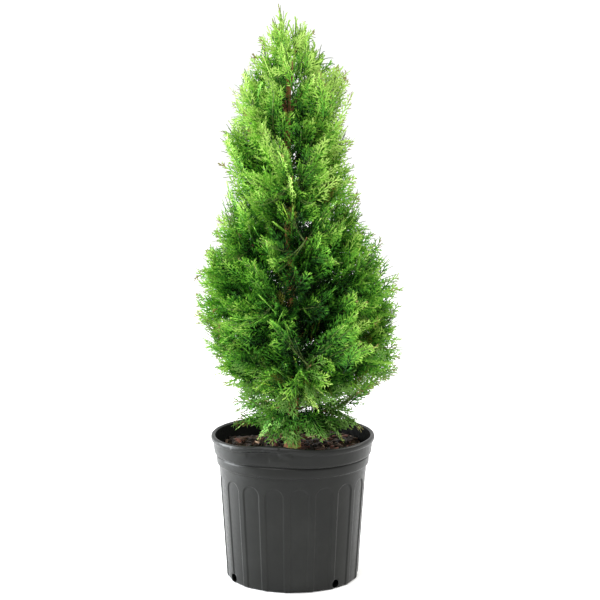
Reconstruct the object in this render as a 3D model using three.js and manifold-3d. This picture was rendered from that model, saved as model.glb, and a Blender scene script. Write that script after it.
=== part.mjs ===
// Potted thuja: a young, narrow garden conifer in a ribbed black nursery pot.
// Millimetres, +Z up, -Y is the front, and the origin is the middle of the pot's flat underside.
// One trunk runs up to a fork with two leaders. Boughs leave it in tiers, and each carries a mass of
// foliage that keeps to its own space: a stem, side twigs, and toothed blades that stand for flat sprays.
import * as THREE from "three";
import { mergeVertices } from "three/addons/utils/BufferGeometryUtils.js";
import Module from "manifold-3d";

const wasm = await Module();
wasm.setup();

// ---------------------------------------------------------------- driving dimensions

const GAP = 0.3; // clearance between neighbouring solids

const POT = {
  height: 250,
  rimRadius: 140,
  footRadius: 113.5,
  wall: 2.6,
  floor: 3,
  flutes: 18,
  turnDeg: 5.65, // how far the nearest flute stands round from the front
  fluteDepth: 1.5,
  ribHalfDeg: 1.7, // half of the rib between two flutes
  stepDeg: 0.9, // the flute's sloping side
  archTop: 183,
  archStart: 160,
};
const DENT = { azimuthDeg: -104, widthDeg: 24, push: 11, lift: 6, from: 196 }; // the rim's soft dent
const DRAIN = { azimuthsDeg: [-152, -50, 30, 130], radius: 7.5, centre: 8.5 };

const SOIL = { top: 225, footDisc: 24, roughness: 4.5, inset: 2.4 };

const TRUNK = { forkHeight: 856, lean: -7, sway: 3, flare: 17, base: 9.5, fork: 4.6 };
const LEADERS = [
  { name: "leader_left", start: -2.6, tip: [-16, 3, 892] },
  { name: "leader_right", start: 2.6, tip: [2, -4, 884] },
];
const LEADER_RADIUS = { base: 2.1, tip: 1.4 };

// How far the crown reaches from the trunk's foot line, to the left (-X) and to the right (+X).
const CROWN = [
  // height, left, right
  [235, 40, 55],
  [268, 80, 121],
  [300, 92, 88],
  [330, 102, 122],
  [360, 128, 168],
  [395, 150, 186],
  [440, 158, 182],
  [530, 162, 172],
  [570, 142, 150],
  [620, 124, 120],
  [670, 114, 106],
  [720, 112, 96],
  [755, 119, 92],
  [800, 98, 90],
  [845, 97, 92],
  [875, 78, 76],
  [905, 58, 50],
  [935, 44, 34],
  [972, 16, 8],
];

// Each tier's space lies between its own slanted floor and the next tier's.
// floor is its height at the trunk, slope its climb per mm outwards, bough the radius of its boughs, or 0
// where its stems grow straight from the trunk or a leader, and sprays how many a mass has at most.
const TIERS = [
  { name: "skirt", count: 3, turn: 30, floor: 228, slope: 0, bough: 0, sprays: 4 },
  { name: "low", count: 3, turn: 0, floor: 252, slope: 0.08, bough: 3.6, sprays: 7 },
  { name: "belly", count: 4, turn: 14, floor: 306, slope: 0.24, bough: 3.8, sprays: 8 },
  { name: "middle", count: 4, turn: -14, floor: 384, slope: 0.52, bough: 3.5, sprays: 8 },
  { name: "upper", count: 4, turn: 14, floor: 472, slope: 0.72, bough: 3.1, sprays: 8 },
  { name: "shoulder", count: 3, turn: 30, floor: 572, slope: 0.9, bough: 2.6, sprays: 8 },
  { name: "neck", count: 3, turn: -30, floor: 672, slope: 1.1, bough: 0, sprays: 7 },
  { name: "crest", count: 3, turn: 30, floor: 764, slope: 1.4, bough: 0, sprays: 7 },
  { name: "top", count: 2, turn: 40, floor: 844, slope: 1.8, bough: 0, sprays: 8 },
];
const CROWN_TOP = 974;
const SPACE_MARGIN = 0.6; // each mass stays this far inside its own space
// How far out from the trunk things end, worked out from the crown's reach in that direction.
const boughEnd = (reach) => 0.32 * reach;
const sprayEnd = (reach) => reach - 1;
// A mass's dense core, smaller than its space: shares of its width and height, and its inner and outer face.
const CORE = { side: 0.86, height: 0.46, squareness: 0.66 };
const coreInner = (reach) => 0.38 * reach;
const coreOuter = (reach) => Math.max(reach - 25, 0.7 * reach);
const coreMiddle = (reach) => 0.5 * coreInner(reach) + 0.5 * coreOuter(reach);
const STEM_RADIUS = 2.4;
const TRIES_PER_MASS = 30;
const SPRAY = { longest: 84, share: 0.86, thickness: 3.6, heart: 0.24, smallest: 0.36 };
const TWIG = { root: 1.5, neck: 1.3 }; // half widths of a twig at its root and where its spray begins
const SPARE_EDGES = 26;
// Half of a spray's toothed outline: shares of its length along and across, up to its tip.
const SPRAY_OUTLINE = [
  [0.34, 0.38],
  [0.46, 0.2],
  [0.8, 0.36],
  [0.76, 0.14],
  [1, 0],
];

// ---------------------------------------------------------------- small helpers

const rad = THREE.MathUtils.degToRad;
const vec = (x, y, z) => new THREE.Vector3(x, y, z);
const UP = vec(0, 0, 1);
const polar = (radius, azimuth, z) => vec(radius * Math.cos(azimuth), radius * Math.sin(azimuth), z);
const fraction = (x) => x - Math.floor(x);

// A repeatable random source: the same seed always gives the same numbers from 0 to 1.
function seeded(seed) {
  let state = Math.imul(seed, 2654435761) >>> 0;
  return () => {
    state = (Math.imul(state, 1664525) + 1013904223) >>> 0;
    return state / 4294967296;
  };
}

// A closed three.js geometry as a solid that can be joined and cut.
function solidOf(geometry) {
  const bare = geometry.clone();
  bare.deleteAttribute("normal");
  bare.deleteAttribute("uv");
  const merged = mergeVertices(bare, 1e-4);
  return new wasm.Manifold(
    new wasm.Mesh({
      numProp: 3,
      vertProperties: merged.attributes.position.array,
      triVerts: new Uint32Array(merged.index.array),
    }),
  );
}

// A solid back as a three.js geometry.
function geometryOf(solid) {
  const mesh = solid.getMesh();
  return new THREE.BufferGeometry()
    .setAttribute("position", new THREE.BufferAttribute(mesh.vertProperties, 3))
    .setIndex(new THREE.BufferAttribute(mesh.triVerts, 1));
}

// Moves every vertex of a geometry to place(x, y, z, index), which returns a Vector3.
function reshape(geometry, place) {
  const at = geometry.attributes.position;
  for (let i = 0; i < at.count; i++) {
    const moved = place(at.getX(i), at.getY(i), at.getZ(i), i);
    at.setXYZ(i, moved.x, moved.y, moved.z);
  }
  return geometry;
}

// A limb: a closed cylinder bent along a curve, with radiusAt(share of its length) round it.
function limbGeometry(curve, radiusAt, sides, steps, spacing = (share) => share) {
  const along = curve.getPoint(1).sub(curve.getPoint(0)).normalize();
  const reference = Math.abs(along.z) > 0.8 ? vec(0, 1, 0) : UP;
  const tube = new THREE.CylinderGeometry(1, 1, 1, sides, steps);
  return reshape(tube, (x, y, z) => {
    const share = spacing(Math.round((y + 0.5) * steps) / steps);
    const tangent = curve.getTangent(share);
    const side = tangent.clone().cross(reference).normalize();
    const other = side.clone().cross(tangent);
    const radius = radiusAt(share);
    return curve
      .getPoint(share)
      .addScaledVector(side, x * radius)
      .addScaledVector(other, z * radius);
  });
}

const taper = (base, tip) => (share) => base + (tip - base) * share;

// ---------------------------------------------------------------- pot and soil

// The dent in the rim pushes the wall in and lifts it, more towards the top and the outside.
function dented(radius, azimuth, z) {
  const off = THREE.MathUtils.euclideanModulo(azimuth - rad(DENT.azimuthDeg) + Math.PI, 2 * Math.PI);
  const near = Math.exp(-(((off - Math.PI) / rad(DENT.widthDeg)) ** 2));
  const height = THREE.MathUtils.clamp((z - DENT.from) / (POT.height - DENT.from), 0, 1);
  const share = near * height * THREE.MathUtils.clamp((radius - 60) / 60, 0, 1);
  return polar(radius - DENT.push * share, azimuth, z + DENT.lift * share);
}

// The pot's profile, from the middle of the underside, up the outside and down the inside.
// arch is how wide the flutes are at that ring, from 0, closed, to 1, full width.
const body = (z) => POT.footRadius + ((z - 4) / (POT.archTop - 4)) * 12;
const POT_RINGS = [
  { r: 0, z: 0 },
  { r: POT.footRadius - 4, z: 0 },
  { r: body(4), z: 4, arch: 1 },
  { r: body(POT.archStart), z: POT.archStart, arch: 1 },
  { r: body(174), z: 174, arch: 0.72 },
  { r: body(POT.archTop), z: POT.archTop, arch: 0.2, flush: true },
  { r: 126.5, z: 200 },
  { r: 130.5, z: 203 },
  { r: 131.5, z: 216 },
  { r: 135, z: 219 },
  { r: 137, z: 241 },
  { r: POT.rimRadius, z: 244 },
  { r: POT.rimRadius - 1.5, z: POT.height },
  { r: 134.5 - POT.wall, z: POT.height - 1 },
  { r: 126.5 - POT.wall, z: 203 },
  { r: POT.footRadius - POT.wall - 1, z: POT.floor },
  { r: 0, z: POT.floor },
];
// The radius of the inner wall, which is two straight runs, at a height.
function innerRadius(z) {
  const [high, middle, low] = POT_RINGS.slice(-4, -1);
  const [above, below] = z > middle.z ? [high, middle] : [middle, low];
  return below.r + ((above.r - below.r) * (z - below.z)) / (above.z - below.z);
}

function potSolid() {
  const perFlute = 4; // two rib corners and two flute corners
  const profile = POT_RINGS.map((ring) => new THREE.Vector2(ring.r, ring.z));
  const lathe = new THREE.LatheGeometry(profile, POT.flutes * perFlute);
  const pitch = rad(360 / POT.flutes);
  const rings = POT_RINGS.length;
  reshape(lathe, (x, y, z, index) => {
    const ring = POT_RINGS[index % rings];
    const column = Math.floor(index / rings) % (POT.flutes * perFlute);
    const corner = column % perFlute;
    const middle = (Math.floor(column / perFlute) + 0.5) * pitch + rad(POT.turnDeg); // its centre line
    const open = (ring.arch ?? 1) * (pitch / 2 - rad(POT.ribHalfDeg + POT.stepDeg));
    const reach = corner === 0 || corner === 3 ? open + rad(POT.stepDeg) : open;
    const azimuth = middle + (corner < 2 ? -reach : reach);
    const sunk = ring.arch && !ring.flush && (corner === 1 || corner === 2);
    return dented(ring.r - (sunk ? POT.fluteDepth : 0), azimuth, ring.z);
  });
  let pot = solidOf(lathe);
  for (const azimuthDeg of DRAIN.azimuthsDeg) {
    const drill = new THREE.CylinderGeometry(DRAIN.radius, DRAIN.radius, 24, 7);
    drill.rotateZ(Math.PI / 2); // along X, which turns to the hole's azimuth
    drill.translate(POT.footRadius, 0, DRAIN.centre);
    drill.rotateZ(rad(azimuthDeg));
    pot = pot.subtract(solidOf(drill));
  }
  return pot;
}

// Potting mix that fills the pot, rough on top, with a flat disc where the trunk stands.
function soilSolid() {
  const columns = 30;
  const random = seeded(7);
  const rings = [
    { r: 0, z: POT.floor + GAP },
    { r: innerRadius(POT.floor) - SOIL.inset, z: POT.floor + GAP },
    { r: innerRadius(203) - SOIL.inset, z: 203 },
    { r: innerRadius(SOIL.top - 6) - SOIL.inset, z: SOIL.top - 6 },
    { r: 104, z: SOIL.top, rough: 1 },
    { r: 64, z: SOIL.top + 1, rough: 1 },
    { r: SOIL.footDisc, z: SOIL.top },
    { r: 0, z: SOIL.top },
  ];
  const bumps = rings.map(() => Array.from({ length: columns }, () => random() - 0.5));
  const profile = rings.map((ring) => new THREE.Vector2(ring.r, ring.z));
  const lathe = new THREE.LatheGeometry(profile, columns);
  return solidOf(
    reshape(lathe, (x, y, z, index) => {
      const place = index % rings.length;
      const column = Math.floor(index / rings.length) % columns;
      const ring = rings[place];
      const bump = ring.rough ? SOIL.roughness * bumps[place][column] : 0;
      const warped = dented(ring.r, (column / columns) * 2 * Math.PI, ring.z);
      return vec(warped.x, warped.y, ring.z + bump);
    }),
  );
}

// ---------------------------------------------------------------- trunk, leaders and boughs

// The trunk's centre line: a slight lean with a slight sway. It starts a little below its flat cut.
const TRUNK_FOOT = SOIL.top + GAP;
class TrunkLine extends THREE.Curve {
  getPoint(share) {
    const z = TRUNK_FOOT - 2 + (TRUNK.forkHeight - TRUNK_FOOT + 2) * share;
    const x = TRUNK.lean * share + TRUNK.sway * Math.sin(2 * Math.PI * share);
    const y = TRUNK.sway * Math.sin(3 * Math.PI * share) * 0.7;
    return vec(x, y, z);
  }
}
const TRUNK_LINE = new TrunkLine();
const trunkAt = (z) => TRUNK_LINE.getPoint((z - TRUNK_FOOT + 2) / (TRUNK.forkHeight - TRUNK_FOOT + 2));

function trunkRadius(share) {
  const flare = (TRUNK.flare - TRUNK.base) * Math.exp(-share * 45);
  return TRUNK.fork + (TRUNK.base - TRUNK.fork) * (1 - share) ** 0.8 + flare;
}

function trunkSolid(extra) {
  const bunched = (share) => share ** 1.6; // more rings in the root flare
  const trunk = solidOf(limbGeometry(TRUNK_LINE, (share) => trunkRadius(share) + extra, 9, 12, bunched));
  const ground = new THREE.BoxGeometry(200, 200, 20).translate(0, 0, TRUNK_FOOT - 10);
  return trunk.subtract(solidOf(ground));
}

// A curve that leaves start, sweeps outwards through bend and ends at end.
const sweep = (start, bend, end) => new THREE.QuadraticBezierCurve3(start, bend, end);

function leaderCurve({ start, tip }) {
  const fork = TRUNK_LINE.getPoint(1);
  const foot = vec(fork.x + start, fork.y, fork.z + 2 * GAP);
  const end = vec(...tip);
  const bend = foot.clone().lerp(end, 0.5).add(vec(start, 0, 0));
  return sweep(foot, bend, end);
}

// ---------------------------------------------------------------- the crown's spaces

// How far the crown reaches at a height and azimuth.
function crownReach(z, azimuth) {
  if (z <= CROWN[0][0]) return Math.min(CROWN[0][1], CROWN[0][2]);
  const above = CROWN.findIndex((row) => row[0] >= z);
  if (above < 0) return 0;
  const [low, high] = [CROWN[above - 1], CROWN[above]];
  const share = (z - low[0]) / (high[0] - low[0]);
  const left = low[1] + (high[1] - low[1]) * share;
  const right = low[2] + (high[2] - low[2]) * share;
  return left + ((right - left) * (1 + Math.cos(azimuth))) / 2;
}

// Every mass of foliage, with the space that it keeps to.
const MASSES = TIERS.flatMap((tier, level) =>
  Array.from({ length: tier.count }, (_, place) => ({
    tier,
    level,
    name: `${tier.name}_${place + 1}`,
    seed: 100 * (level + 1) + place,
    azimuth: rad(tier.turn) + (2 * Math.PI * place) / tier.count,
    half: Math.PI / tier.count,
    roll: rad((place + level) % 2 ? 45 : -45), // its sprays lie much the same way, side by side
  })),
);

const floorOf = (level, radius) => TIERS[level].floor + TIERS[level].slope * radius;
const ceilingOf = (level, radius) => (level + 1 < TIERS.length ? floorOf(level + 1, radius) : CROWN_TOP);

// The height at share v of the way from a mass's floor to its ceiling, at a radius.
function heightIn(mass, v, radius) {
  const low = floorOf(mass.level, radius);
  return low + (ceilingOf(mass.level, radius) - low) * v;
}

// Whether a point lies in a mass's space, clear of its neighbours, the soil and the pot's rim.
function inSpace(mass, point) {
  const radius = Math.hypot(point.x, point.y);
  const azimuth = Math.atan2(point.y, point.x);
  const turned = THREE.MathUtils.euclideanModulo(azimuth - mass.azimuth + Math.PI, 2 * Math.PI) - Math.PI;
  const off = Math.abs(turned);
  if (off > mass.half || radius * Math.sin(mass.half - off) < SPACE_MARGIN) return false;
  if (point.z < floorOf(mass.level, radius) + SPACE_MARGIN) return false;
  if (point.z > ceilingOf(mass.level, radius) - SPACE_MARGIN) return false;
  if (point.z < POT.height + 4 && radius > 118) return false;
  return radius <= crownReach(point.z, azimuth);
}

// The point of a mass's space at side share u and height share v. outTo gives its radius from the reach.
function placeIn(mass, u, v, outTo) {
  const azimuth = mass.azimuth + u * mass.half * 0.92;
  let radius = 4;
  while (radius < outTo(crownReach(heightIn(mass, v, radius), azimuth))) radius += 0.5;
  return polar(radius, azimuth, heightIn(mass, v, radius));
}

// ---------------------------------------------------------------- growth

// A mass's bough, from the trunk to where it enters the mass.
function boughCurve(mass) {
  const tip = placeIn(mass, 0, 0.45, boughEnd);
  const foot = trunkAt(heightIn(mass, 0.3, 0));
  const bend = foot.clone().lerp(tip, 0.6);
  bend.z -= 0.12 * tip.distanceTo(foot);
  return sweep(foot, bend, tip);
}

// A mass's stem. It goes on from the tip of its bough or leader, or leaves the trunk where it has neither.
function stemCurve(mass) {
  const tip = placeIn(mass, 0, 0.5, coreMiddle);
  const last = mass.level === TIERS.length - 1;
  if (!mass.tier.bough && !last) return new THREE.LineCurve3(trunkAt(heightIn(mass, 0.3, 0)), tip);
  const limb = last ? leaderCurve(LEADERS[Math.cos(mass.azimuth) < 0 ? 0 : 1]) : boughCurve(mass);
  const way = limb.getTangent(1);
  const start = limb.getPoint(1).addScaledVector(way, GAP);
  return sweep(start, start.clone().addScaledVector(way, 0.4 * start.distanceTo(tip)), tip);
}

// The places that a mass grows towards, spread evenly over its side shares and height shares.
function targetOf(number) {
  const u = 2 * fraction(0.5 + (number + 1) * 0.618034) - 1;
  const v = 0.06 + 0.88 * fraction(0.5 + (number + 1) * 0.754878);
  return [u, v];
}

// A twig with a flat spray at its end, as one closed shape. It grows along +X from its root at 0,0,0.
// teeth holds a share for each place of the spray's outline, by which that place is drawn out.
function sprayGeometry(stalk, length, teeth, extra) {
  const root = TWIG.root + extra;
  const neck = TWIG.neck + extra;
  const peak = SPRAY.thickness / 2 + extra;
  const drawn = (side) =>
    SPRAY_OUTLINE.map(([along, across], place) => {
      const share = teeth[place + (side > 0 ? SPRAY_OUTLINE.length : 0)];
      const x = SPRAY.heart + (along - SPRAY.heart) * share;
      return [stalk + x * length, side * across * share * length, 0];
    });
  const rim = [[stalk, -neck, 0], ...drawn(-1), ...drawn(1).slice(0, -1).reverse(), [stalk, neck, 0]];
  const heart = stalk + SPRAY.heart * length;
  const points = [[0, -root, 0], [0, 0, root], [0, root, 0], [0, 0, -root]];
  const [right, top, left, bottom] = [0, 1, 2, 3];
  points.push([heart, 0, peak], [heart, 0, -peak], ...rim);
  const [upper, lower, first] = [4, 5, 6];
  const last = points.length - 1;
  const faces = [
    [right, top, left],
    [right, left, bottom],
    [right, first, upper],
    [right, upper, top],
    [top, upper, last],
    [top, last, left],
    [right, lower, first],
    [right, bottom, lower],
    [bottom, last, lower],
    [bottom, left, last],
  ];
  for (let place = first; place < last; place++) {
    faces.push([upper, place, place + 1], [lower, place + 1, place]);
  }
  const geometry = new THREE.BufferGeometry();
  geometry.setAttribute("position", new THREE.Float32BufferAttribute(points.flat(), 3));
  return geometry.setIndex(faces.flat());
}

// Places a shape that grows along +X with its root at root, along way, rolled from upright.
function placed(geometry, root, way, roll) {
  const normal = way.clone().cross(UP).normalize().applyAxisAngle(way, roll);
  const across = normal.clone().cross(way);
  return geometry.applyMatrix4(new THREE.Matrix4().makeBasis(way, across, normal).setPosition(root));
}

// Whether every vertex of a geometry lies in the mass's space.
function fits(mass, geometry) {
  const at = geometry.attributes.position;
  for (let i = 0; i < at.count; i++) {
    if (!inSpace(mass, vec(at.getX(i), at.getY(i), at.getZ(i)))) return false;
  }
  return true;
}

// Solids made so far, with their boxes, so that new growth can be kept clear of them.
const standing = [];
const stand = (name, solid) => standing.push({ name, solid, box: solid.boundingBox() });

function touchesStanding(solid) {
  const box = solid.boundingBox();
  const apart = (other) =>
    [0, 1, 2].some((axis) => box.min[axis] > other.max[axis] || box.max[axis] < other.min[axis]);
  return standing.some((other) => !apart(other.box) && !other.solid.intersect(solid).isEmpty());
}

// Adds a piece to a mass if it keeps to the space, clear of other solids, and is well rooted.
// A piece that would cut across the mass's other pieces adds many more edges, and is left out too.
function grow(mass, body, geometry, wider, spareEdges) {
  if (!fits(mass, geometry) || touchesStanding(solidOf(wider))) return null;
  const piece = solidOf(geometry);
  const joined = body.add(piece);
  if (joined.numTri() > body.numTri() + piece.numTri() + spareEdges) return null;
  return joined.decompose().length === 1 ? joined : null;
}

// Grows a twig from root to tip with a spray at its end, turned and made smaller until it has room.
function growSpray(mass, body, root, tip, random) {
  const teeth = Array.from({ length: 2 * SPRAY_OUTLINE.length }, () => 0.85 + 0.25 * random());
  const way = tip.clone().sub(root).normalize();
  const full = root.distanceTo(tip);
  for (let share = 1; share > SPRAY.smallest; share -= 0.16) {
    const length = share * SPRAY.share * full;
    for (let turn = 0; turn < 5; turn++) {
      const roll = mass.roll + Math.PI * fraction(turn * 0.618034);
      const make = (extra) => placed(sprayGeometry(full - length, length, teeth, extra), root, way, roll);
      const grown = grow(mass, body, make(0), make(GAP), SPARE_EDGES);
      if (grown) return grown;
    }
  }
  return null;
}

// The dense middle of a mass, drawn from a ball out to the shape of the mass's own space.
function coreSolid(mass, random) {
  const ball = new THREE.IcosahedronGeometry(1, 1);
  const bumps = new Map();
  return solidOf(
    reshape(ball, (x, y, z) => {
      const key = [x, y, z].map((value) => value.toFixed(3)).join();
      if (!bumps.has(key)) bumps.set(key, 0.86 + 0.14 * random());
      const bump = bumps.get(key);
      const [side, out, up] = [x, y, z].map((value) => {
        return bump * Math.sign(value) * Math.abs(value) ** CORE.squareness;
      });
      const outTo = (reach) => coreInner(reach) + (coreOuter(reach) - coreInner(reach)) * (0.5 + 0.5 * out);
      return placeIn(mass, -CORE.side * side, 0.5 + CORE.height * up, outTo);
    }),
  );
}

function foliageSolid(mass, trunkWider) {
  const random = seeded(mass.seed);
  const stem = solidOf(limbGeometry(stemCurve(mass), taper(STEM_RADIUS, 0.7 * STEM_RADIUS), 3, 2));
  let body = stem.add(coreSolid(mass, random)).subtract(trunkWider);
  let sprays = 0;
  for (let number = 0; number < TRIES_PER_MASS && sprays < mass.tier.sprays; number++) {
    const [u, v] = targetOf(number);
    const tip = placeIn(mass, u, v, sprayEnd);
    const heart = placeIn(mass, 0.5 * u, 0.5 + 0.5 * (v - 0.5), coreMiddle);
    const share = Math.min(1, SPRAY.longest / heart.distanceTo(tip));
    const grown = growSpray(mass, body, tip.clone().lerp(heart, share), tip, random);
    if (grown) sprays++;
    body = grown ?? body;
  }
  return body;
}

// ---------------------------------------------------------------- the assembly

const COLOURS = {
  pot: { color: 0x2b2c29, roughness: 0.42, metalness: 0 },
  soil: { color: 0x2e2016, roughness: 0.95, metalness: 0 },
  bark: { color: 0x6a4630, roughness: 0.85, metalness: 0 },
  foliage: { color: 0x5c9a2c, roughness: 0.6, metalness: 0 },
};
const thuja = new THREE.Group();
thuja.name = "potted_thuja";

function show(name, solid, finish) {
  const mesh = new THREE.Mesh(geometryOf(solid), new THREE.MeshStandardMaterial(COLOURS[finish]));
  mesh.name = name;
  thuja.add(mesh);
  stand(name, solid);
}

show("pot", potSolid(), "pot");
show("soil", soilSolid(), "soil");
show("trunk", trunkSolid(0), "bark");

const trunkWider = trunkSolid(GAP);
for (const leader of LEADERS) {
  const radiusAt = taper(LEADER_RADIUS.base, LEADER_RADIUS.tip);
  const limb = solidOf(limbGeometry(leaderCurve(leader), radiusAt, 6, 4)).subtract(trunkWider);
  show(leader.name, limb, "bark");
}
for (const mass of MASSES.filter(({ tier }) => tier.bough)) {
  const radiusAt = taper(mass.tier.bough, 0.55 * mass.tier.bough);
  const limb = solidOf(limbGeometry(boughCurve(mass), radiusAt, 5, 3)).subtract(trunkWider);
  show(`bough_${mass.name}`, limb, "bark");
}
for (const mass of MASSES) show(`foliage_${mass.name}`, foliageSolid(mass, trunkWider), "foliage");

export default thuja;
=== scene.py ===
"""Looks of the potted thuja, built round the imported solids. Lengths are in mm until a mesh is made."""
import math

import bpy
import numpy as np
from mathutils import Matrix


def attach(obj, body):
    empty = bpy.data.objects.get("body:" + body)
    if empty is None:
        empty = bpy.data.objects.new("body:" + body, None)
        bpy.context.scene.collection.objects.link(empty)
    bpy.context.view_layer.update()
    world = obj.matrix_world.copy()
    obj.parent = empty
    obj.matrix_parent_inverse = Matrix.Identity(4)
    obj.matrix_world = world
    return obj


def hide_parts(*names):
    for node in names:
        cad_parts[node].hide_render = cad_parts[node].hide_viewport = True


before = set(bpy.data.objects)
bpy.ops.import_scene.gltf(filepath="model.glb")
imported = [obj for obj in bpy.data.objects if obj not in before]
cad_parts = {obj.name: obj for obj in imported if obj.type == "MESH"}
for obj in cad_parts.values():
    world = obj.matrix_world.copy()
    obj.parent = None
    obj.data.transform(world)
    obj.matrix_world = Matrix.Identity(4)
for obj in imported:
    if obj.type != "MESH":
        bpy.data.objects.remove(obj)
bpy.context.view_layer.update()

MM = 0.001

# ---- driving values, as in the part's source

POT = {"height": 250, "foot": 113.5, "floor": 3, "flutes": 18, "depth": 1.5}
WALL = {"low": 4, "flare": 12}  # where the wall starts, and how much it widens up to the flutes' tops
FLUTE = {"turn": 5.65, "half": 7.6, "top": 183, "step": 1.6}  # degrees, degrees, mm, mm
DENT = {"azimuth": -104, "width": 24, "push": 11, "lift": 6, "from": 196}  # degrees, degrees, then mm
DRAIN = {"azimuths": [-152, -50, 30, 130], "radius": 7.5, "centre": 8.5}
SOIL = {"top": 225, "foot_disc": 24}
TRUNK = {"fork_height": 856, "lean": -7, "sway": 3, "flare": 17, "base": 9.5, "fork": 4.6}
LEADERS = [(-2.6, (-16, 3, 892)), (2.6, (2, -4, 884))]  # step to the side at the fork, and tip
GAP = 0.3

# Height, and how far the crown reaches to the left (-X) and to the right (+X).
CROWN = np.array([
    [235, 40, 55], [268, 80, 121], [300, 92, 88], [330, 102, 122], [360, 128, 168], [395, 150, 186],
    [440, 158, 182], [530, 162, 172], [570, 142, 150], [620, 124, 120], [670, 114, 106], [720, 112, 96],
    [755, 119, 92], [800, 98, 90], [845, 97, 92], [875, 78, 76], [905, 58, 50], [935, 44, 34], [972, 16, 8],
], float)
CROWN_TOP = 974

# name, masses, turn, floor at the trunk, slope, bough radius or 0
TIERS = [
    ("skirt", 3, 30, 228, 0.0, 0.0),
    ("low", 3, 0, 252, 0.08, 3.6),
    ("belly", 4, 14, 306, 0.24, 3.8),
    ("middle", 4, -14, 384, 0.52, 3.5),
    ("upper", 4, 14, 472, 0.72, 3.1),
    ("shoulder", 3, 30, 572, 0.9, 2.6),
    ("neck", 3, -30, 672, 1.1, 0.0),
    ("crest", 3, 30, 764, 1.4, 0.0),
    ("top", 2, 40, 844, 1.8, 0.0),
]

# ---- driving values of twigs and sprays

CELL = 900  # mm2 of the crown's outside for each branch, where the thickness is 1
THICKNESS = {
    "skirt": 0.08, "low": 0.4, "belly": 0.7, "middle": 0.95, "upper": 1.05, "shoulder": 1.1,
    "neck": 1.1, "crest": 1.05, "top": 0.75,
}
INNER_SHARE = {"skirt": 0.1, "low": 0.3, "belly": 0.75}  # further branches that end inside the crown
INNER_ELSEWHERE = 0.52
INNER_FROM = 7  # number of the first of them in the even spacing
INNER_REACH = (0.25, 0.72)  # shares of the crown's reach where they end
THIN_BELOW = 405  # mm, every third branch is left out under this height
STEM_END = 0.74  # share of the crown's reach where a mass's own stem ends
SPRAYS_AT = (0.34, 0.48, 0.62, 0.75, 0.88, 1.0)  # shares along a branch
OUTLINE_SPRAYS = (0.62, 0.82, 1.0)
LOBE_SPRAYS = (0.5, 0.62, 0.74, 0.86, 1.0)
OUTLINE_STEP = 11  # mm of height between branches to the crown's left and right outline
ARCH = 8  # mm, how far a thin twig arches up
PARTS = {"belly": 2, "middle": 2}  # tiers whose leaves are too many for one mesh

ROOM = (1, 0.86, 0.72, 0.58, 0.46)  # shares of its length that a spray may shrink to
SHOOT_GAP = 5.2  # mm between side shoots, which stand left and right by turns
SHOOT_WIDTH = 1.85
SIDE_SHARE = 0.4  # longest side shoot, as a share of its spray
SIDE_LEAST = {"fan": 6, "slim": 3.5}  # mm, length of a spray's shortest side shoots
OPENING = 47  # degrees, between a spray's middle and its lowest side shoots
CURL = 11  # degrees, how much a side shoot turns forwards at each joint
FORKS = [(34, 10, (0, 1)), (-34, 14, (1,))]  # turn in degrees, least shoot in mm, joints that fork
OVERLAP = 0.05  # share of its length that a blade runs on past its end

# How far sprays stand out of the crown's reach in mm: at least, mostly and at most.
FRINGE = {"side": (-44, -16, -3), "tip": (-13, 6, 15), "hanging": (26, 32, 38), "lobe": (14, 20, 25)}
FURTHEST = {"left": 172, "right": 190}  # mm from the pot's axis
CLEAR = {"rim": 118, "over_rim": 256, "over_mix": 229, "top": CROWN_TOP + 8}  # mm, bounds of all shoots
READ_TOP = 971  # mm, what stands higher takes the crown's reach of this height
SUNK = 9  # mm, how unevenly branches end under the crown's outside

# Swells and hollows of the crown: wave lengths in mm, how deep hollows are in mm, and how many steps swells
# are painted lighter and hollows darker, as painted light and painted shade.
LUMPS = {"seed": 12, "waves": 14, "short": 55, "long": 120, "stand": 12, "shade": 0.6}
# The furrow between the crown's halves, front and back, sunk in and painted darker as painted shade. Branches
# thin out where lump() is under "open".
SEAM = {"azimuth": -84, "width": 18, "low": 410, "high": 850, "ends": (60, 50), "depth": 2.1, "open": -1.2}

LOBE_TIPS = [  # the lower right lobe, and three tips that close a gap inside the crown
    (142, -6, 326), (160, 4, 340), (166, -10, 349), (152, 18, 338), (158, -22, 352), (134, -16, 318),
    (128, 14, 314), (30, -44, 424), (30, 40, 420), (44, -2, 432),
]
HANGING = [  # roots and tips of the low sprays that hang over the mix and the rim
    ((-20, -24, 316), (-60, -62, 248)), ((-6, -34, 330), (-14, -66, 256)), ((20, -34, 304), (62, -92, 243)),
    ((0, -30, 310), (4, -66, 244)), ((34, -12, 304), (88, -44, 252)), ((50, -2, 300), (124, 0, 262)),
    ((58, 2, 290), (130, 6, 274)), ((44, 4, 308), (114, -6, 292)), ((-34, -2, 300), (-92, -14, 264)),
    ((-36, 2, 312), (-98, -2, 290)), ((-8, 34, 316), (-50, 74, 254)), ((8, 34, 316), (6, 94, 256)),
    ((28, 26, 308), (62, 64, 252)), ((-28, 22, 306), (-86, 42, 262)), ((30, 18, 304), (98, 46, 263)),
    ((-10, -20, 296), (-38, -50, 252)), ((-3, -26, 292), (-5, -60, 240)),
]
TOP_SHOOTS = [  # tips of the slim upright shoots above both leaders
    (-20, -2, 976), (-15, 5, 967), (-31, -6, 958), (6, 3, 956), (1, -8, 944), (24, -4, 940),
    (-38, 6, 940), (-10, 10, 950), (14, 8, 944),
]
TOP_SPRAYS = ((0.4, 34), (0.7, 30), (1, 40))  # share along such a shoot, and length

# ---- meshes


def unit(vectors):
    return vectors / np.maximum(np.linalg.norm(vectors, axis=-1, keepdims=True), 1e-9)


def polar(radius, azimuth, z):
    return np.stack(np.broadcast_arrays(radius * np.cos(azimuth), radius * np.sin(azimuth), z), -1)


def wrapped(angle, period=2 * math.pi):
    """An angle brought to within half a period of 0."""
    return (angle + period / 2) % period - period / 2


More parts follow.
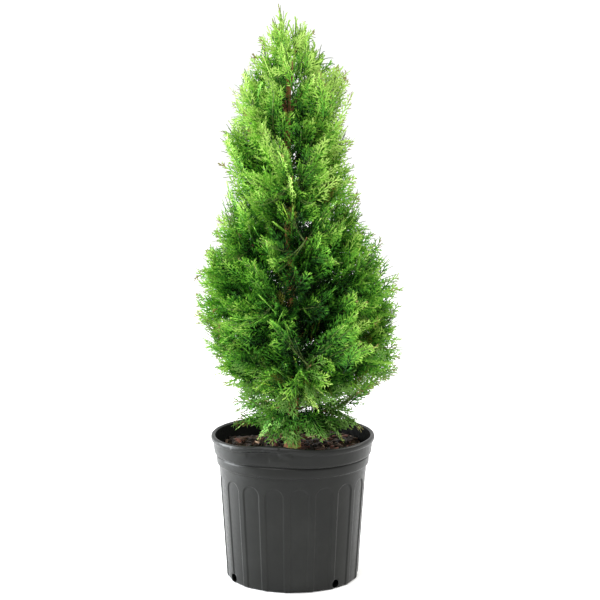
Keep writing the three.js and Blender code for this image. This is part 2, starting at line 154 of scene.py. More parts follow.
def grid_faces(rows, columns):
    """Triangles of a grid of points that closes on itself across its columns."""
    row, column = np.meshgrid(np.arange(rows - 1), np.arange(columns), indexing="ij")
    a = row * columns + column
    b = row * columns + (column + 1) % columns
    halves = np.stack([a, b, b + columns], -1), np.stack([a, b + columns, a + columns], -1)
    return np.concatenate(halves).reshape(-1, 3)


def cap_faces(columns, first, centre, flip=False):
    """Triangles between a ring of points, which starts at first, and the point that closes it."""
    turn = np.arange(columns)
    after = (turn + 1) % columns
    edge = (after, turn) if flip else (turn, after)
    return np.stack([first + edge[0], first + edge[1], np.full(columns, centre)], -1)


def piece(name, points, faces, materials, replaced=(), shades=None):
    """A mesh of triangles that rides on the plant's one body."""
    mesh = bpy.data.meshes.new(name)
    mesh.vertices.add(len(points))
    mesh.vertices.foreach_set("co", (np.asarray(points) * MM).astype(np.float32).ravel())
    mesh.loops.add(3 * len(faces))
    mesh.loops.foreach_set("vertex_index", np.asarray(faces, np.int32).ravel())
    mesh.polygons.add(len(faces))
    mesh.polygons.foreach_set("loop_start", np.arange(0, 3 * len(faces), 3, dtype=np.int32))
    mesh.polygons.foreach_set("use_smooth", np.ones(len(faces), bool))
    for material in materials:
        mesh.materials.append(material)
    if shades is not None:
        mesh.polygons.foreach_set("material_index", np.asarray(shades, np.int32))
    mesh.update(calc_edges=True)
    made = bpy.data.objects.new(name, mesh)
    bpy.context.scene.collection.objects.link(made)
    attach(made, "root")
    if replaced:
        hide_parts(*replaced)
    return made


class Shapes:
    """Points and triangles of many shapes, joined into one mesh."""

    def __init__(self):
        self.points, self.faces, self.shades, self.count = [], [], [], 0

    def add(self, points, faces, shade=0):
        self.points.append(points)
        self.faces.append(faces + self.count)
        self.shades.append(np.broadcast_to(shade, len(faces)))
        self.count += len(points)

    def arrays(self):
        return np.concatenate(self.points), np.concatenate(self.faces), np.concatenate(self.shades)


def tube(points, radii, sides, relief=None):
    """A closed limb along points. relief(share, angle) adds to its radius."""
    points = np.asarray(points, float)
    along = unit(np.gradient(points, axis=0))
    reference = np.array([0, 1.0, 0]) if abs(along[0][2]) > 0.8 else np.array([0, 0, 1.0])
    side = unit(np.cross(along, reference))
    other = np.cross(along, side)
    angle = np.arange(sides) / sides * 2 * math.pi
    radius = np.broadcast_to(np.asarray(radii, float)[:, None], (len(points), sides))
    if relief is not None:
        radius = radius + relief(np.linspace(0, 1, len(points))[:, None], angle[None])
    ring = side[:, None] * np.cos(angle)[None, :, None] + other[:, None] * np.sin(angle)[None, :, None]
    wall = (points[:, None] + ring * radius[..., None]).reshape(-1, 3)
    faces = np.concatenate([
        grid_faces(len(points), sides),
        cap_faces(sides, 0, len(wall), flip=True),
        cap_faces(sides, len(wall) - sides, len(wall) + 1),
    ])
    return np.concatenate([wall, points[:1], points[-1:]]), faces


def sweep(start, bend, end, steps):
    """Points of a curve that leaves start, passes by bend and ends at end."""
    share = np.linspace(0, 1, steps)[:, None]
    return start * (1 - share) ** 2 + bend * 2 * share * (1 - share) + end * share**2


def waves(seed, count, low, high):
    """A repeatable sum of waves over a plane, from about -1 to 1, as a function of x and y."""
    rng = np.random.default_rng(seed)
    turn, phase = rng.uniform(0, 2 * math.pi, (2, count))
    pace = rng.uniform(low, high, count)

    def height(x, y):
        total = sum(np.sin(p * (x * math.cos(t) + y * math.sin(t)) + s) for p, t, s in zip(pace, turn, phase))
        return total / math.sqrt(count)

    return height


# ---- materials


def linear(red, green, blue):
    """A colour of 0 to 255 as the shader wants it."""
    values = [c / 255 / 12.92 if c <= 10 else ((c / 255 + 0.055) / 1.055) ** 2.4 for c in (red, green, blue)]
    return (*values, 1)


def plain(name, colour, roughness, **sockets):
    made = bpy.data.materials.new(name)
    made.use_nodes = True
    shader = made.node_tree.nodes["Principled BSDF"]
    shader.inputs["Base Color"].default_value = linear(*colour)
    shader.inputs["Roughness"].default_value = roughness
    for socket, value in sockets.items():
        shader.inputs[socket.replace("_", " ")].default_value = value
    return made


def mottled(name, colours, scale, roughness, bump, stretch=(1, 1, 1), grain=4.0, **sockets):
    """A shader with noise in colour, roughness and relief. colours holds (place, colour) stops."""
    made = plain(name, colours[0][1], sum(roughness) / 2, **sockets)
    nodes, links = made.node_tree.nodes, made.node_tree.links
    shader = nodes["Principled BSDF"]
    where = nodes.new("ShaderNodeTexCoord")
    mapping = nodes.new("ShaderNodeMapping")
    mapping.inputs["Scale"].default_value = stretch
    links.new(where.outputs["Object"], mapping.inputs["Vector"])
    noise = nodes.new("ShaderNodeTexNoise")
    noise.inputs["Scale"].default_value = scale
    noise.inputs["Detail"].default_value = 6
    noise.inputs["Roughness"].default_value = 0.62
    fine = nodes.new("ShaderNodeTexNoise")
    fine.inputs["Scale"].default_value = scale * grain
    fine.inputs["Detail"].default_value = 4
    for texture in (noise, fine):
        links.new(mapping.outputs["Vector"], texture.inputs["Vector"])
    ramp = nodes.new("ShaderNodeValToRGB")
    stops = ramp.color_ramp.elements
    for place, _ in colours[1:-1]:
        stops.new(place)
    for stop, (place, colour) in zip(stops, colours):
        stop.position = place
        stop.color = linear(*colour)
    links.new(noise.outputs["Fac"], ramp.inputs["Fac"])
    links.new(ramp.outputs["Color"], shader.inputs["Base Color"])
    spread = nodes.new("ShaderNodeMapRange")
    spread.inputs["From Min"].default_value = 0.3
    spread.inputs["From Max"].default_value = 0.7
    spread.inputs["To Min"].default_value, spread.inputs["To Max"].default_value = roughness
    links.new(fine.outputs["Fac"], spread.inputs["Value"])
    links.new(spread.outputs["Result"], shader.inputs["Roughness"])
    relief = nodes.new("ShaderNodeBump")
    relief.inputs["Strength"].default_value = 0.6
    relief.inputs["Distance"].default_value = bump * MM
    links.new(fine.outputs["Fac"], relief.inputs["Height"])
    links.new(relief.outputs["Normal"], shader.inputs["Normal"])
    return made


LEAF_SHADES = [  # from dark to light, dealt out partly as painted shade and painted light, then those that only some sprays take
    ("leaf_deep", (8, 28, 7)),
    ("leaf_dark", (18, 54, 14)),
    ("leaf_mid", (42, 94, 24)),
    ("leaf_fresh", (72, 132, 38)),
    ("leaf_bright", (104, 162, 50)),
    ("leaf_lime", (138, 186, 70)),
    ("leaf_pale", (164, 200, 96)),
    ("leaf_yellow", (142, 172, 60)),
    ("leaf_bronze", (98, 102, 38)),
    ("leaf_grey", (112, 156, 72)),
    ("leaf_dry", (128, 122, 70)),
]
MID, FRESH, PALE, YELLOW, BRONZE, GREY, DRY = 2, 3, 6, 7, 8, 9, 10
LEAVES = [plain(name, colour, 0.5, Specular_IOR_Level=0.12) for name, colour in LEAF_SHADES]
GREEN, TAN, BROWN = 0, 1, 2
TWIGS = [
    plain("twig_green", (78, 100, 36), 0.6),
    plain("twig_tan", (120, 96, 54), 0.7),
    plain("twig_brown", (128, 92, 54), 0.75),
]
POT_PLASTIC = mottled(
    "pot_plastic",
    [(0.3, (16, 17, 16)), (0.52, (20, 21, 19)), (0.72, (27, 28, 26))],
    scale=14, roughness=(0.28, 0.42), bump=0.12, grain=14, Specular_IOR_Level=0.2,
)
# The pot's plastic made much darker for its inner wall: painted shade inside the pot.
POT_INSIDE_PAINTED_SHADE = mottled(
    "pot_inside_painted_shade",
    [(0.3, (5, 6, 5)), (0.55, (9, 9, 8)), (0.75, (24, 21, 17))],
    scale=22, roughness=(0.6, 0.9), bump=0.2, grain=10, Specular_IOR_Level=0.06,
)
SOIL_MIX = mottled(
    "soil_mix",
    [(0.3, (10, 8, 5)), (0.5, (24, 18, 10)), (0.62, (42, 32, 18)), (0.75, (70, 56, 36))],
    scale=90, roughness=(0.75, 0.98), bump=1.2, Specular_IOR_Level=0.08,
)
BARK = mottled(
    "bark",
    [(0.3, (84, 54, 28)), (0.48, (142, 94, 50)), (0.62, (182, 128, 74)), (0.75, (200, 154, 108))],
    scale=160, roughness=(0.7, 0.95), bump=0.5, stretch=(1, 1, 0.12),
)
CHIP_SHADES = [
    mottled(name, [(0.3, dark), (0.7, light)], scale=120, roughness=roughness, bump=0.3)
    for name, dark, light, roughness in [
        ("chip_dark", (18, 12, 8), (38, 26, 17), (0.7, 0.9)),
        ("chip_brown", (40, 26, 16), (70, 48, 30), (0.7, 0.9)),
        ("chip_red", (66, 32, 20), (102, 54, 34), (0.65, 0.9)),
        ("chip_pale", (132, 104, 80), (172, 146, 118), (0.6, 0.85)),
    ]
]

# ---- pot

# The pot's profile as radius and height: its foot, the fluted wall, then the bands, lip and inner wall.
FOOT_PROFILE = [(60, 0), (104, 0), (109, 0), (111.6, 0.6), (113, 2), (113.5, 4)]
WALL_HEIGHTS = [*range(10, 150, 8), *np.arange(150, 188, 1.25), 190, 194, 197]  # dense at the flutes' arches
BAND_PROFILE = [
    (126.5, 199), (127.0, 200), (128.6, 200.5), (130.0, 201.2), (130.6, 203), (130.9, 207), (131.3, 213),
    (131.3, 215), (131.0, 216.0), (130.3, 216.6), (130.0, 217.3), (130.5, 218.0), (132.4, 218.5),
    (134.0, 219.2), (134.8, 221), (135.2, 224), (135.7, 229), (136.2, 234), (136.6, 238), (136.8, 239.6),
    (138.0, 240.3), (139.3, 241.2), (140, 243), (140, 246.4), (139.4, 248.6), (138, 249.8), (136.2, 250),
    (134.4, 249.6), (133.0, 248.2), (132.2, 246), (131.4, 242), (128.4, 226), (124.0, 203),
    (118.6, 120), (111, 6), (109.5, 3), (60, 3),
]
INNER_RINGS = 9  # the profile's last points, on the wall's inner side
FLUTE_COLUMNS = 36  # points across each flute and the wall beside it
UNDERSIDE = 111  # radius up to which the foot is round and flat
OUT_OF_ROUND = 0.35  # mm, how unevenly the wall bulges at the rim
ARC = 2.35  # mm along the band under the rim for each degree
CREASES = [  # azimuth and height at both ends, height of the fold, its half width
    (-137, 243, -119, 245, 1.2, 3.0),
    (-124, 237, -108, 240, -1.6, 3.4),
    (-111, 243, -101, 246, 1.6, 2.6),
    (-99, 239, -91, 236, 2.2, 2.6),
    (-92, 242, -72, 243, -1.0, 3.0),
    (-106, 229, -92, 226, 1.6, 3.0),
]
CREASED_FROM = 203  # mm, folds lie above this height


def dented(radius, azimuth, z):
    """Where the rim's dent moves a point of the pot."""
    off = wrapped(azimuth - math.radians(DENT["azimuth"]))
    near = np.exp(-((off / math.radians(DENT["width"])) ** 2))
    height = np.clip((z - DENT["from"]) / (POT["height"] - DENT["from"]), 0, 1)
    share = near * height * np.clip((radius - 60) / 60, 0, 1)
    return radius - DENT["push"] * share, z + DENT["lift"] * share


def wall_radius(z):
    return POT["foot"] + (z - WALL["low"]) / (FLUTE["top"] - WALL["low"]) * WALL["flare"]


def flute_depth(azimuth, z):
    """How far the arched flutes sink into the wall."""
    off = wrapped(azimuth - math.radians(-90 + FLUTE["turn"]), 2 * math.pi / POT["flutes"])
    radius = wall_radius(z)
    half = math.radians(FLUTE["half"]) * radius
    above = np.maximum(z - (FLUTE["top"] - half), 0)
    inside = half - np.hypot(np.abs(off) * radius, above)
    share = np.clip(inside / FLUTE["step"], 0, 1)
    return POT["depth"] * share * share * (3 - 2 * share)


def creases(azimuth, z):
    """Small folds in the dented band under the rim."""
    total = 0
    x = np.degrees(azimuth) * ARC
    for from_azimuth, z0, to_azimuth, z1, height, width in CREASES:
        x0, x1 = from_azimuth * ARC, to_azimuth * ARC
        along = (x - x0) * (x1 - x0) + (z - z0) * (z1 - z0)
        share = np.clip(along / ((x1 - x0) ** 2 + (z1 - z0) ** 2), 0, 1)
        off = np.hypot(x - x0 - share * (x1 - x0), z - z0 - share * (z1 - z0))
        total = total + height * np.exp(-((off / width) ** 2))
    return total


def cut_drains(pot):
    """Cuts the drain notches through the pot's bottom corner."""
    for azimuth in DRAIN["azimuths"]:
        out = polar(1.0, math.radians(azimuth), 0.0)
        middle = out * POT["foot"] + [0, 0, DRAIN["centre"]]
        points, faces = tube([middle - out * 12, middle + out * 12], [DRAIN["radius"]] * 2, 32)
        mesh = bpy.data.meshes.new("drill")
        mesh.from_pydata((points * MM).tolist(), [], faces.tolist())
        drill = bpy.data.objects.new("drill", mesh)
        bpy.context.scene.collection.objects.link(drill)
        cut = pot.modifiers.new("cut", "BOOLEAN")
        cut.operation = "DIFFERENCE"
        cut.solver = "MANIFOLD"
        cut.object = drill
        bpy.context.view_layer.update()
        result = bpy.data.meshes.new_from_object(pot.evaluated_get(bpy.context.evaluated_depsgraph_get()))
        pot.modifiers.clear()
        pot.data = result
        bpy.data.objects.remove(drill)


def pot_piece():
    wall = [(wall_radius(z), z) for z in WALL_HEIGHTS]
    profile = np.array(FOOT_PROFILE + wall + BAND_PROFILE, float)
    columns = FLUTE_COLUMNS * POT["flutes"]
    azimuth = np.linspace(-math.pi, math.pi, columns, endpoint=False)[None]
    radius, z = profile[:, :1], profile[:, 1:]
    banded = (np.arange(len(profile)) >= len(profile) - len(BAND_PROFILE))[:, None]
    sunk = np.where(~banded & (radius > UNDERSIDE), flute_depth(azimuth, z), 0)
    folded = np.where(banded & (z > CREASED_FROM), creases(azimuth, z), 0)
    bulge = OUT_OF_ROUND * np.sin(3 * azimuth + 1) * z / POT["height"]
    bulge = np.where(radius > 100, bulge, 0)
    radius, z = dented(radius - sunk + folded + bulge, azimuth, z + 0 * azimuth)
    rings = polar(radius, azimuth, z).reshape(-1, 3)
    faces = np.concatenate([
        grid_faces(len(profile), columns),
        cap_faces(columns, 0, len(rings), flip=True),
        cap_faces(columns, len(rings) - columns, len(rings) + 1),
    ])
    points = np.concatenate([rings, [[0, 0, 0], [0, 0, POT["floor"]]]])
    # the inner wall's faces take the darker plastic, painted shade inside the pot
    inside = faces.min(axis=1) // columns >= len(profile) - INNER_RINGS
    cut_drains(piece("pot_shell", points, faces, [POT_PLASTIC, POT_INSIDE_PAINTED_SHADE], ["pot"], inside))


# ---- potting mix

MIX = {"radius": 126, "level": 224, "under": 206, "narrower": 0.955, "columns": 220, "rings": 62}
HUMPS, KNOBS, CRUMBS = waves(3, 9, 0.03, 0.07), waves(4, 9, 0.12, 0.28), waves(5, 12, 0.5, 1.1)
PLACED_CHIPS = [  # x, y, length, width, turn, shade
    (-83, -22, 26, 9, 0.1, 3),
    (70, -40, 20, 9, 0.5, 2),
    (12, -92, 22, 7, 1.1, 2),
    (58, -84, 15, 6, -0.4, 2),
    (-98, 22, 20, 7, 2.0, 1),
    (34, 84, 22, 9, 0.7, 3),
]
CHIPS = {"count": 900, "reach": 124, "sides": 7, "shades": [0.44, 0.34, 0.19, 0.03]}
FIBRES = {"count": 260, "reach": 120, "clear": 118, "shades": [0.3, 0.4, 0.2, 0.1]}


def soil_height(x, y):
    """The mix's humpy top, level where the trunk stands and lower at the wall."""
    radius = np.hypot(x, y)
    away = np.clip((radius - SOIL["foot_disc"]) / 16, 0, 1)
    humps = (3.4 * HUMPS(x, y) + 1.3 * KNOBS(x, y)) * away
    crumbs = 0.7 * CRUMBS(x, y) * np.clip(away + 0.3, 0, 1)
    return SOIL["top"] + humps + crumbs - 3 * np.clip((radius - 100) / 25, 0, 1)


def soil_piece():
    columns = MIX["columns"]
    azimuth = np.linspace(-math.pi, math.pi, columns, endpoint=False)[None]
    radii = np.linspace(2, MIX["radius"], MIX["rings"])[:, None]
    spread, _ = dented(radii + 0 * azimuth, azimuth, MIX["level"] + 0 * azimuth)
    points = polar(spread, azimuth, 0 * spread).reshape(-1, 3)
    points[:, 2] = soil_height(points[:, 0], points[:, 1])
    edge = points[-columns:].copy()
    edge[:, :2] *= MIX["narrower"]
    edge[:, 2] = MIX["under"]
    rings = np.concatenate([points, edge])
    faces = np.concatenate([
        grid_faces(MIX["rings"] + 1, columns)[:, ::-1],
        cap_faces(columns, 0, len(rings)),
        cap_faces(columns, len(rings) - columns, len(rings) + 1, flip=True),
    ])
    points = np.concatenate([rings, [[0, 0, SOIL["top"]], [0, 0, MIX["under"]]]])
    piece("soil_top", points, faces, [SOIL_MIX], ["soil"])


def scattered(rng, reach):
    """A random place on the mix, pushed in where the rim is dented."""
    radius, azimuth = reach * math.sqrt(rng.uniform(0.02, 1)), rng.uniform(0, 2 * math.pi)
    spread, _ = dented(np.array(radius), azimuth, np.array(MIX["level"]))
    return float(spread) * math.cos(azimuth), float(spread) * math.sin(azimuth)


def chip_shape(rng, x, y, length, width, turn):
    """A flat bark chip, tilted at random."""
    sides = CHIPS["sides"]
    angle = np.linspace(0, 2 * math.pi, sides, endpoint=False) + rng.uniform(-0.25, 0.25, sides)
    swell = rng.uniform(0.8, 1.15, sides)
    rim = np.stack([np.cos(angle) * swell * length / 2, np.sin(angle) * swell * width / 2], -1)
    thick = min(2.6, 0.22 * width + 0.5)
    top = np.column_stack([rim * 0.86, np.full(sides, thick)])
    low = np.column_stack([rim, np.full(sides, -0.3 * thick)])
    flat = np.concatenate([low, top, [[0, 0, thick * 1.15], [0, 0, -0.4 * thick]]])
    tilt, roll = rng.normal(0, 0.22, 2)
    flat[:, 2] += flat[:, 0] * tilt + flat[:, 1] * roll
    c, s = math.cos(turn), math.sin(turn)
    turned_x = flat[:, 0] * c - flat[:, 1] * s + x
    turned_y = flat[:, 0] * s + flat[:, 1] * c + y
    height = flat[:, 2] + (soil_height(np.array(x), np.array(y)) + 0.5 + 0.1 * length * abs(tilt))
    faces = np.concatenate([
        grid_faces(2, sides),
        cap_faces(sides, sides, 2 * sides),
        cap_faces(sides, 0, 2 * sides + 1, flip=True),
    ])
    return np.column_stack([turned_x, turned_y, height]), faces


def chips_piece():
    """Bark chips and fibres that lie on the mix."""
    rng = np.random.default_rng(21)
    shapes = Shapes()
    wanted = list(PLACED_CHIPS)
    for _ in range(CHIPS["count"]):
        x, y = scattered(rng, CHIPS["reach"])
        length = rng.uniform(4, 9) if rng.uniform() < 0.7 else rng.uniform(9, 20)
        shade = rng.choice(4, p=CHIPS["shades"])
        wanted.append((x, y, length, length * rng.uniform(0.2, 0.6), rng.uniform(0, 6.3), shade))
    for *chip, shade in wanted:
        shapes.add(*chip_shape(rng, *chip), shade)
    for _ in range(FIBRES["count"]):
        middle = np.array(scattered(rng, FIBRES["reach"]))
        turn, length = rng.uniform(0, 6.3), rng.uniform(5, 16)
        share = np.linspace(-0.5, 0.5, 5)
        xy = middle + np.outer(share * length, [math.cos(turn), math.sin(turn)]) + rng.normal(0, 0.6, (5, 2))
        if np.hypot(*xy.T).max() > FIBRES["clear"]:
            continue
        z = soil_height(xy[:, 0], xy[:, 1]) + 0.8 + rng.uniform(0, 1.6) * (1 - 4 * share**2)
        points, faces = tube(np.column_stack([xy, z]), np.full(5, rng.uniform(0.25, 0.6)), 4)
        shapes.add(points, faces, rng.choice(4, p=FIBRES["shades"]))
    points, faces, shades = shapes.arrays()
    piece("soil_chips", points, faces, CHIP_SHADES, shades=shades)


# ---- the crown's spaces, by the source's rule

TRUNK_FOOT = SOIL["top"] + GAP
ROOTED = 2  # mm, the trunk's line starts this far under its foot
TRUNK_LENGTH = TRUNK["fork_height"] - TRUNK_FOOT + ROOTED
EVEN = (0.618034, 0.754878)  # steps that spread numbered places evenly over side and height
EVEN_ALONG = 0.381966  # the same along a limb


def trunk_point(share):
    z = TRUNK_FOOT - ROOTED + TRUNK_LENGTH * share
    x = TRUNK["lean"] * share + TRUNK["sway"] * np.sin(2 * math.pi * share)
    y = TRUNK["sway"] * np.sin(3 * math.pi * share) * 0.7
    return np.stack([x, y, z], -1)


def trunk_at(z):
    return trunk_point((z - TRUNK_FOOT + ROOTED) / TRUNK_LENGTH)


def trunk_radius(share):
    flare = (TRUNK["flare"] - TRUNK["base"]) * np.exp(-share * 45)
    return TRUNK["fork"] + (TRUNK["base"] - TRUNK["fork"]) * (1 - share) ** 0.8 + flare


def crown_reach(z, azimuth):
    left = np.interp(z, CROWN[:, 0], CROWN[:, 1])
    right = np.interp(z, CROWN[:, 0], CROWN[:, 2])
    reach = left + (right - left) * (1 + np.cos(azimuth)) / 2
    reach = np.where(z <= CROWN[0, 0], CROWN[0, 1:].min(), reach)
    return np.where(z > CROWN[-1, 0], 0, reach)


def reach_beside(points):
    """The crown's reach beside some points."""
    return crown_reach(np.minimum(points[..., 2], READ_TOP), np.arctan2(points[..., 1], points[..., 0]))


def tier_floor(level, radius):
    """Where a tier's slanted space begins, at some radius from the axis."""
    return TIERS[level][3] + TIERS[level][4] * radius


class Mass:
    """One mass of foliage and the space that it keeps to."""

    def __init__(self, level, place):
        self.tier, self.count, turn, _, _, self.bough = TIERS[level]
        self.level = level
        self.last = level == len(TIERS) - 1
        self.name = f"{self.tier}_{place + 1}"
        self.seed = 100 * (level + 1) + place
        self.azimuth = math.radians(turn) + 2 * math.pi * place / self.count
        self.half = math.pi / self.count
        self.roll = math.radians(45 if (place + level) % 2 else -45)

    def floor(self, radius):
        return tier_floor(self.level, radius)

    def ceiling(self, radius):
        return np.full(np.shape(radius), CROWN_TOP) if self.last else tier_floor(self.level + 1, radius)

    def height(self, share, radius):
        low = self.floor(radius)
        return low + (self.ceiling(radius) - low) * share

    def place(self, u, v, out_to):
        """The point at side share u and height share v. out_to gives its radius from the crown's reach."""
        azimuth = self.azimuth + u * self.half * 0.92
        radii = np.arange(4, 240, 0.5)
        beyond = radii >= out_to(crown_reach(self.height(v, radii), azimuth))
        radius = radii[np.argmax(beyond)]
        return polar(radius, azimuth, self.height(v, radius))

    def holds(self, point):
        """Whether a point is in this mass's space."""
        off = wrapped(math.atan2(point[1], point[0]) - self.azimuth)
        radius = math.hypot(point[0], point[1])
        return abs(off) <= self.half and self.floor(radius) <= point[2] < self.ceiling(radius)

    def area(self):
        """The crown's outside that belongs to this mass, in mm2."""
        ends = [self.place(0, v, lambda reach: reach) for v in (0.03, 0.5, 0.97)]
        rise = sum(np.linalg.norm(b - a) for a, b in zip(ends, ends[1:]))
        return rise * 2 * self.half * max(np.hypot(*ends[1][:2]), 20)


MASSES = [Mass(level, place) for level, tier in enumerate(TIERS) for place in range(tier[1])]


def bough_end(reach):
    return 0.32 * reach


def core_middle(reach):
    return 0.5 * 0.38 * reach + 0.5 * np.maximum(reach - 25, 0.7 * reach)


def leader_line(start, tip, steps):
    fork = trunk_point(np.array(1.0))
    foot = fork + [start, 0, 2 * GAP]
    return sweep(foot, (foot + tip) / 2 + [start, 0, 0], np.array(tip, float), steps)


def bough_line(mass, steps):
    tip = mass.place(0, 0.45, bough_end)
    foot = trunk_at(mass.height(0.3, 0.0))
    bend = foot + 0.6 * (tip - foot)
    bend[2] -= 0.12 * np.linalg.norm(tip - foot)
    return sweep(foot, bend, tip, steps)


def stem_line(mass, steps):
    """From the tip of its bough or leader, or from the trunk, to the mass's middle."""
    tip = mass.place(0, 0.5, core_middle)
    if mass.last:
        limb = leader_line(*LEADERS[0 if math.cos(mass.azimuth) < 0 else 1], 16)
    elif mass.bough:
        limb = bough_line(mass, 16)
    else:
        foot = trunk_at(mass.height(0.3, 0.0))
        return sweep(foot, (foot + tip) / 2, tip, steps)
    way = unit(limb[-1] - limb[-2])
    return sweep(limb[-1], limb[-1] + way * 0.4 * np.linalg.norm(tip - limb[-1]), tip, steps)


def target_of(number, low, high):
    """Side and height shares of a numbered place, all of them evenly spaced."""
    u, v = ((0.5 + (number + 1) * step) % 1 for step in EVEN)
    return 2 * u - 1, low + (high - low) * v


# ---- trunk, leaders and boughs with their bark


def bark_relief(seed, depth, strips):
    """Long flat strips of bark that wander a little along the limb."""
    rng = np.random.default_rng(seed)
    phase = rng.uniform(0, 6.3, 4)

    def relief(share, angle):
        wander = 0.5 * np.sin(9 * share + phase[0]) + 0.25 * np.sin(31 * share + phase[1])
        strip = np.abs(np.sin((angle + wander) * strips / 2 + 1.4 * np.sin(17 * share + phase[2])))
        knots = np.sin(53 * share + 3 * np.sin(angle + phase[3])) * 0.25
        return depth * (np.sqrt(strip) - 0.8 + knots)

    return relief


def trunk_piece():
    share = np.linspace(0, 1, 420) ** 1.25
    points, faces = tube(trunk_point(share), trunk_radius(share), 44, bark_relief(1, 0.75, 13))
    points[:, 2] = np.maximum(points[:, 2], TRUNK_FOOT - 1.5)
    piece("trunk_bark", points, faces, [BARK], ["trunk"])


def leaders_piece():
    shapes = Shapes()
    for number, (start, tip) in enumerate(LEADERS):
        line = leader_line(start, tip, 40)
        shapes.add(*tube(line, np.linspace(2.1, 1.4, 40), 14, bark_relief(5 + number, 0.2, 7)))
    points, faces, _ = shapes.arrays()
    piece("leader_bark", points, faces, [BARK], ["leader_left", "leader_right"])


def boughs_piece():
    shapes = Shapes()
    bearers = [mass for mass in MASSES if mass.bough]
    for mass in bearers:
        radii = np.linspace(mass.bough, 0.55 * mass.bough, 60)
        radii = radii + 0.6 * mass.bough * np.exp(-np.linspace(0, 1, 60) * 14)
        shapes.add(*tube(bough_line(mass, 60), radii, 18, bark_relief(mass.seed, 0.34, 8)))
    points, faces, _ = shapes.arrays()
    piece("bough_bark", points, faces, [BARK], [f"bough_{mass.name}" for mass in bearers])


# ---- where shoots grow, and which way


def lift_at(z):
    """How steeply shoots rise at a height, in degrees."""
    return np.interp(z, [230, 262, 330, 430, 560, 700, 820, 900, 970], [-26, -8, 4, 22, 38, 50, 60, 74, 86])


def spray_length(z):
    return np.interp(z, [250, 560, 800, 900, 970], [72, 68, 60, 50, 40])


def kept(tips, fringe):
    """Whether shoots stay within the crown's reach, and clear of the mix and the rim."""
    radius = np.hypot(tips[..., 0], tips[..., 1])
    furthest = np.where(tips[..., 0] < 0, FURTHEST["left"], FURTHEST["right"])
    inside = radius <= np.minimum(reach_beside(tips) + fringe, furthest)
    clear = (radius < CLEAR["rim"]) | (tips[..., 2] > CLEAR["over_rim"])
    return inside & clear & (tips[..., 2] > CLEAR["over_mix"]) & (tips[..., 2] < CLEAR["top"])


def lump_waves():
    """Ways, paces and phases of the waves that the crown's swells add up from."""
    rng = np.random.default_rng(LUMPS["seed"])
    ways = unit(rng.normal(0, 1, (LUMPS["waves"], 3)))
    pace = 2 * math.pi / rng.uniform(LUMPS["short"], LUMPS["long"], LUMPS["waves"])
    return ways, pace, rng.uniform(0, 2 * math.pi, LUMPS["waves"])


LUMP_WAYS, LUMP_PACES, LUMP_PHASES = lump_waves()


def lump(point):
    """How much the crown swells at a point, from about -1 to 1, and still less in the furrow."""
    swell = np.sin((LUMP_WAYS @ point) * LUMP_PACES + LUMP_PHASES).sum() / math.sqrt(LUMPS["waves"])
    off = wrapped(math.atan2(point[1], point[0]) - math.radians(SEAM["azimuth"]), math.pi)
    under, over = SEAM["ends"]
    heights = [SEAM["low"] - under, SEAM["low"], SEAM["high"], SEAM["high"] + over]
    seam = math.exp(-((off / math.radians(SEAM["width"])) ** 2)) * np.interp(point[2], heights, [0, 1, 1, 0])
    return float(swell) - SEAM["depth"] * seam


def shoot_way(point, azimuth, tangent, rng):
    """Which way a spray grows from a point of a branch."""
    lift = math.radians(lift_at(point[2]) + rng.normal(0, 22))
    return unit(polar(math.cos(lift), azimuth, math.sin(lift)) + 0.55 * tangent)


def arch(start, end):
    """The bend of a thin twig between two points."""
    return (start + end) / 2 + [0, 0, ARCH]


# ---- sprays

# Steps from dark to light: at a middling depth and age, and over a whole depth, as painted shade, and a whole
# age, partly fresh growth and partly painted light.
SHADE = {"middle": 1.85, "depth": 0.71, "outwards": 5.4, "age": 0.48, "tipwards": 5.4}
PAINTED_LIGHT_AT = ([250, 330, 420, 560, 760, 900], [-0.3, 0.4, -0.6, -0.55, 0.85, 2.05])  # heights, and steps there: painted shade through the middle of the crown, painted light towards its top
ODD = {"yellow": 0.02, "bronze": 0.045}  # draws under which a spray takes that shade
DRY_SHARE = 0.45  # of the ends that stand out of the crown
BRONZE_TOP, GREY_TOP = 700, 350  # mm, up to where sprays of that shade grow


class Leaves:
    """Leafy shoots: chains of slender blades, each twisted a little along its length."""

    def __init__(self):
        self.rows, self.names = [], []

    def add(self, root, tip, normal, width, taper, shade):
        self.rows.append((root, tip, np.broadcast_to(normal, root.shape), width, taper, shade))

    def build(self, name):
        root, tip, normal, width, taper, shade = (np.concatenate(column) for column in zip(*self.rows))
        side = unit(np.cross(tip - root, normal)) * width[:, None] / 2
        twist = normal * width[:, None] / 2 * 0.6
        across = taper[:, None] * (side - twist)
        points = np.stack([root + side + twist, root - side - twist, tip - across, tip + across], 1)
        shape = np.array([[0, 1, 2], [0, 2, 3]])
        faces = (np.arange(len(root))[:, None, None] * 4 + shape).reshape(-1, 3)
        shades = np.repeat(shade, len(shape))
        piece(name, points.reshape(-1, 3), faces, LEAVES, self.names, shades)


